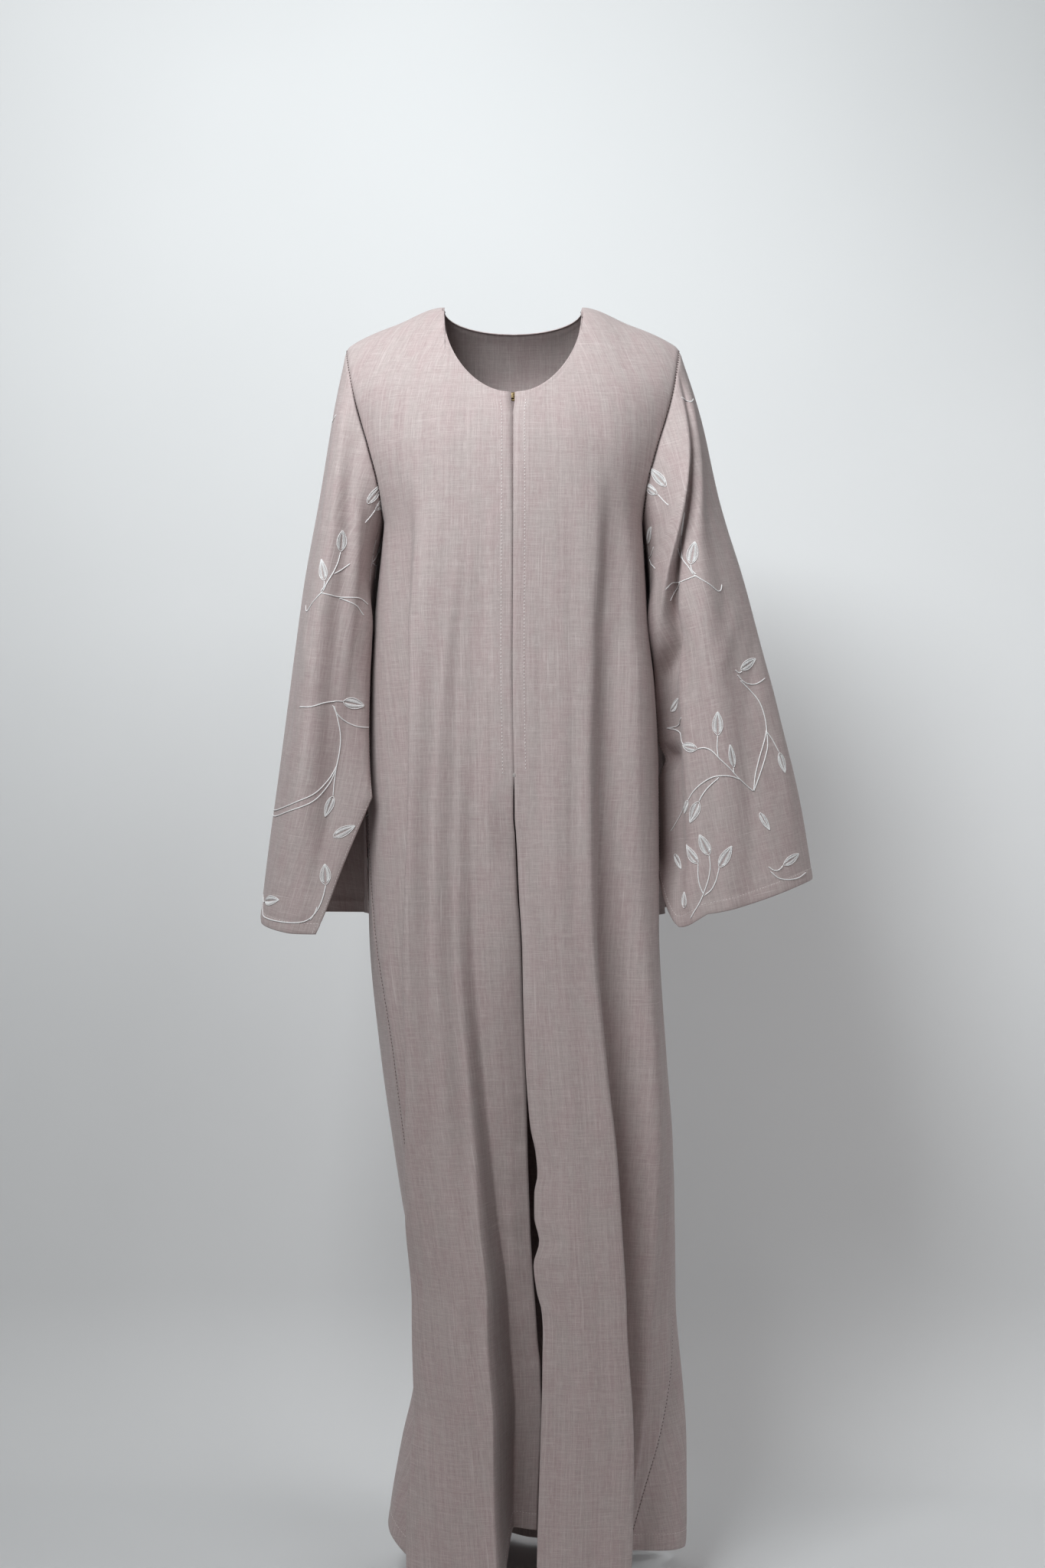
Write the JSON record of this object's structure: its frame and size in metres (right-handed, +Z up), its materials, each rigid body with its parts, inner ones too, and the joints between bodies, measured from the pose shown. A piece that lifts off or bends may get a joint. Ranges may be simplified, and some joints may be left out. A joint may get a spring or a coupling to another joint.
{
  "type": "abaya cloak",
  "caption": "Ankle-length zip-front abaya cloak in worn form, with a round neck, open lower front and wide bell sleeves slit from the elbow",
  "frame": {"origin": "middle of the line between the two neck points of the shoulder seams, where the wearer's shoulders hold the garment", "axes": "+Z up, -Y to the garment's front, +X to the wearer's left; the garment hangs down from the origin"},
  "size_m": [0.6354, 0.3128, 1.4662],
  "materials": {
    "abaya_cloth": "dusty mauve linen-look slub weave, matt",
    "zip_tape": "plain woven zip tape in the cloth's colour",
    "zip_brass": "dull antique brass"
  },
  "bodies": {
    "root": {"front_left": "abaya_cloth", "front_right": "abaya_cloth", "back": "abaya_cloth", "sleeve_left": "abaya_cloth", "sleeve_right": "abaya_cloth", "zip_tape_left": "zip_tape", "zip_tape_right": "zip_tape", "zip_slider": "zip_brass"}
  },
  "joints": []
}
